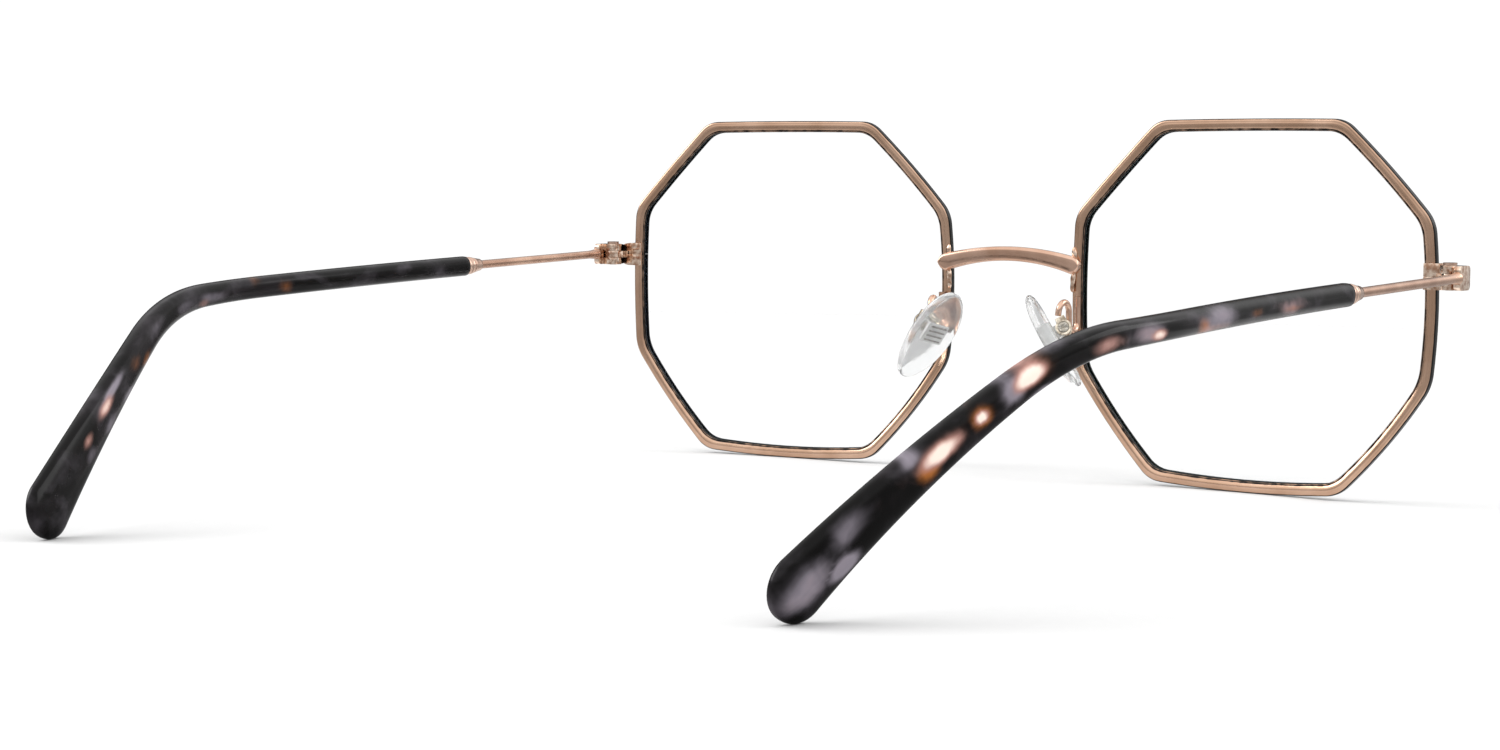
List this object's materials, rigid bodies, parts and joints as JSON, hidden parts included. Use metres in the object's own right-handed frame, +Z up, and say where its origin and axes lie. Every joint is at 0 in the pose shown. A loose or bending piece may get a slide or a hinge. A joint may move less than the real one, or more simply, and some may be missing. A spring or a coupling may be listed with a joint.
{
  "type": "geometric eyeglasses",
  "caption": "Octagonal metal-rimmed eyeglasses with clear lenses, an arched bridge, rocking silicone nose pads and folding wire temples with marbled acetate tips.",
  "frame": {"origin": "on the table, under the middle of the open glasses' bounding box", "axes": "+Z up from the table that the rims and the temple tips rest on, +Y from the front back along the temples, +X to the wearer's left"},
  "size_m": [0.1379, 0.1399, 0.0518],
  "materials": {
    "rim_metal": "satin rose gold plate on the back, lacquered black on the front edge of the rims",
    "pale_metal": "bright rose gold plate",
    "rose_wire": "polished rose gold plate on drawn wire",
    "screw_steel": "bright nickel-silver coloured screw",
    "marbled_acetate": "polished cellulose acetate, black with grey, pink and amber marbling",
    "clear_lens": "clear, polished, anti-reflective",
    "clear_insert": "clear polycarbonate",
    "clear_silicone": "soft clear silicone"
  },
  "bodies": {
    "front": {"rim_left": "rim_metal", "rim_right": "rim_metal", "lens_left": "clear_lens", "lens_right": "clear_lens", "bridge": "rim_metal", "closing_block_upper_left": "pale_metal", "closing_block_upper_right": "pale_metal", "closing_block_lower_left": "pale_metal", "closing_block_lower_right": "pale_metal", "rim_screw_left": "screw_steel", "rim_screw_right": "screw_steel", "front_knuckle_left": "pale_metal", "front_knuckle_right": "pale_metal", "pad_arm_left": "rose_wire", "pad_arm_right": "rose_wire", "pad_box_left": "pale_metal", "pad_box_right": "pale_metal", "pad_screw_left": "screw_steel", "pad_screw_right": "screw_steel"},
    "temple_left": {"hinge_screw_left": "screw_steel", "temple_hinge_left": "pale_metal", "temple_wire_left": "rose_wire", "ferrule_left": "pale_metal", "temple_tip_left": "marbled_acetate"},
    "nose_pad_left": {"pad_insert_left": "clear_insert", "nose_pad_left": "clear_silicone"},
    "temple_right": {"hinge_screw_right": "screw_steel", "temple_hinge_right": "pale_metal", "temple_wire_right": "rose_wire", "ferrule_right": "pale_metal", "temple_tip_right": "marbled_acetate"},
    "nose_pad_right": {"pad_insert_right": "clear_insert", "nose_pad_right": "clear_silicone"}
  },
  "joints": [
    {"name": "temple_left_hinge", "type": "hinge", "parent": "front", "child": "temple_left", "pos_m": [0.06596, -0.061, 0.03079], "axis": [0, 0.0168, 0.9999], "range_deg": [0, 84]},
    {"name": "temple_right_hinge", "type": "hinge", "parent": "front", "child": "temple_right", "pos_m": [-0.0666, -0.061, 0.03079], "axis": [0, -0.0168, -0.9999], "range_deg": [-5.2, 66]},
    {"name": "nose_pad_left_rock", "type": "hinge", "parent": "front", "child": "nose_pad_left", "pos_m": [0.01083, -0.06222, 0.02198], "axis": [0.3524, 0.9101, 0.218], "range_deg": [-10, 10]},
    {"name": "nose_pad_right_rock", "type": "hinge", "parent": "front", "child": "nose_pad_right", "pos_m": [-0.01147, -0.06222, 0.02198], "axis": [0.3524, -0.9101, -0.218], "range_deg": [-10, 10]}
  ]
}
